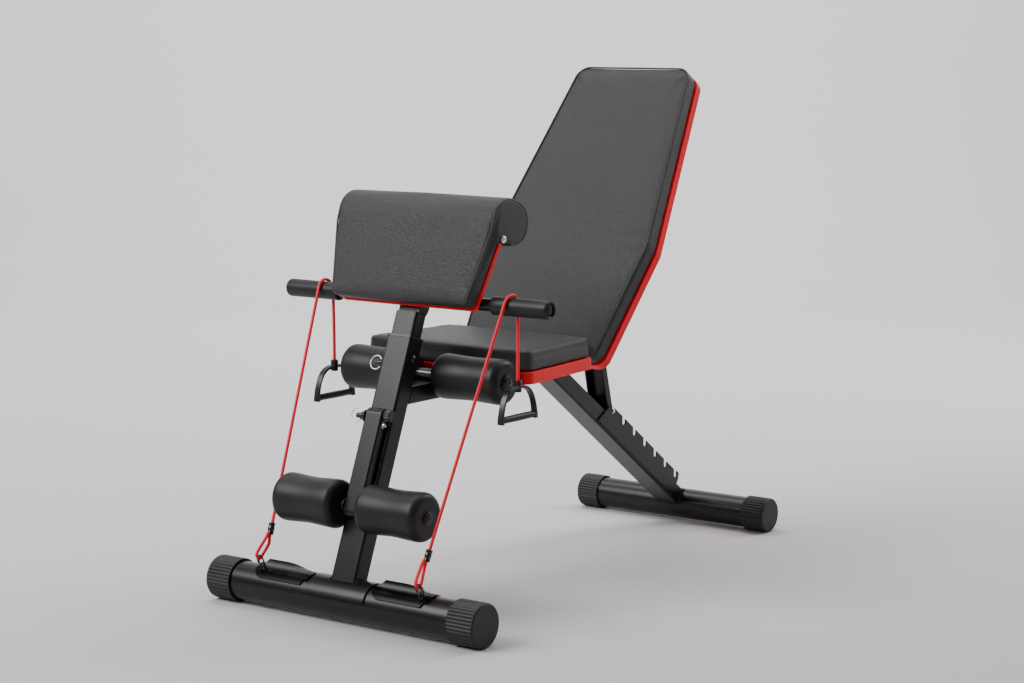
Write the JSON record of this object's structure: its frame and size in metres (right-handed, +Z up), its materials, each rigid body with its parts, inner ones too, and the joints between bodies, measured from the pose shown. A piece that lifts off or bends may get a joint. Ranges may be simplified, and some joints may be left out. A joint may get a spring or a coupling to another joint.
{
  "type": "adjustable weight bench",
  "caption": "Adjustable weight bench with reclining backrest, preacher arm pad, foam leg rollers, a handlebar and elastic pull bands with D handles.",
  "frame": {"origin": "on the floor, under the middle of the bench", "axes": "+X towards the knob side, +Y from the front foot to the rear foot, +Z up"},
  "size_m": [0.57, 1.0689, 0.8887],
  "materials": {
    "powder": "satin black powder coat, fine texture",
    "cap": "moulded black, matt",
    "foam": "smooth-skinned black foam",
    "leather": "black leatherette with a fine pebble grain",
    "board": "bright red laminate, semi-gloss",
    "elastic": "red elastic cord",
    "steel": "zinc-plated",
    "wire": "bright plated wire",
    "plastic": "black, slightly satin"
  },
  "bodies": {
    "frame": {"front_foot_tube": "powder", "front_cap_L": "cap", "front_cap_R": "cap", "front_saddle": "powder", "foot_plate_L": "powder", "foot_plate_R": "powder", "hook_L": "plastic", "hook_R": "plastic", "crimp_L": "steel", "crimp_R": "steel", "band_L": "elastic", "band_R": "elastic", "post": "powder", "post_bush": "plastic", "carriage_rail": "powder", "post_pin_boss": "plastic", "seat_beam": "powder", "upper_axle": "steel", "seat_board": "board", "seat_cushion": "leather", "hinge_pin": "steel", "rear_leg": "powder", "comb_L": "powder", "comb_R": "powder", "rear_foot_tube": "powder", "rear_cap_L": "cap", "rear_cap_R": "cap"},
    "roller_carriage": {"roller_hanger": "powder", "lower_axle": "steel", "hanger_bolt": "steel", "hanger_pin_boss": "plastic"},
    "lower_left": {"lower_roller_L": "foam"},
    "lower_right": {"lower_roller_R": "foam"},
    "upper_left": {"upper_roller_L": "foam"},
    "upper_right": {"upper_roller_R": "foam"},
    "knob": {"clamp_knob": "plastic"},
    "hanger_pull": {"hanger_pin": "steel", "hanger_pin_ring": "wire"},
    "post_pull": {"post_pin": "steel", "post_pin_ring": "wire"},
    "preacher_head": {"pad_tube": "powder", "pad_bracket": "powder", "preacher_board": "board", "preacher_cushion": "leather", "handlebar": "powder", "bar_grip_L": "foam", "bar_grip_R": "foam", "collar_L": "plastic", "collar_R": "plastic", "handle_bail_L": "plastic", "handle_bail_R": "plastic"},
    "handle_left": {"handle_grip_L": "foam"},
    "handle_right": {"handle_grip_R": "foam"},
    "backrest": {"back_frame": "powder", "back_board": "board", "back_cushion": "leather", "strut_pivot_pin": "steel"},
    "support": {"strut": "powder", "strut_foot_pin": "steel"}
  },
  "joints": [
    {"name": "backrest_recline", "type": "hinge", "parent": "frame", "child": "backrest", "pos_m": [0, 0.059, 0.36], "axis": [1, 0, 0], "range_deg": [-71.88, 0]},
    {"name": "support_swing", "type": "hinge", "parent": "backrest", "child": "support", "pos_m": [0, 0.169, 0.535], "axis": [1, 0, 0], "range_deg": [0, 101.1]},
    {"name": "head_height", "type": "slide", "parent": "frame", "child": "preacher_head", "axis": [0, 0.3647, 0.9311], "range_m": [-0.025, 0.1], "deforming": ["band_L", "band_R"]},
    {"name": "carriage_height", "type": "slide", "parent": "frame", "child": "roller_carriage", "axis": [0, 0.3647, 0.9311], "range_m": [-0.06, 0]},
    {"name": "lower_roller_left_spin", "type": "hinge", "parent": "roller_carriage", "child": "lower_left", "pos_m": [0, -0.47656, 0.18949], "axis": [1, 0, 0], "continuous": true},
    {"name": "lower_roller_right_spin", "type": "hinge", "parent": "roller_carriage", "child": "lower_right", "pos_m": [0, -0.47656, 0.18949], "axis": [1, 0, 0], "continuous": true},
    {"name": "upper_roller_left_spin", "type": "hinge", "parent": "frame", "child": "upper_left", "pos_m": [0, -0.284, 0.386], "axis": [1, 0, 0], "continuous": true},
    {"name": "upper_roller_right_spin", "type": "hinge", "parent": "frame", "child": "upper_right", "pos_m": [0, -0.284, 0.386], "axis": [1, 0, 0], "continuous": true},
    {"name": "clamp_knob_turn", "type": "hinge", "parent": "roller_carriage", "child": "knob", "pos_m": [0.0285, -0.42052, 0.33476], "axis": [1, 0, 0], "continuous": true},
    {"name": "hanger_pin_pull", "type": "slide", "parent": "roller_carriage", "child": "hanger_pull", "axis": [-1, 0, 0], "range_m": [0, 0.008], "stiffness_N_per_m": 400, "springref_m": -0.004},
    {"name": "post_pin_pull", "type": "slide", "parent": "frame", "child": "post_pull", "axis": [-1, 0, 0], "range_m": [0, 0.008], "stiffness_N_per_m": 400, "springref_m": -0.004},
    {"name": "handle_left_turn", "type": "hinge", "parent": "preacher_head", "child": "handle_left", "pos_m": [-0.198, -0.2953, 0.333], "axis": [0, 1, 0], "continuous": true},
    {"name": "handle_right_turn", "type": "hinge", "parent": "preacher_head", "child": "handle_right", "pos_m": [0.198, -0.2953, 0.333], "axis": [0, 1, 0], "continuous": true}
  ],
  "couplings": [
    {"joint": "support_swing", "follows": "backrest_recline", "ratio": -1.4056}
  ]
}
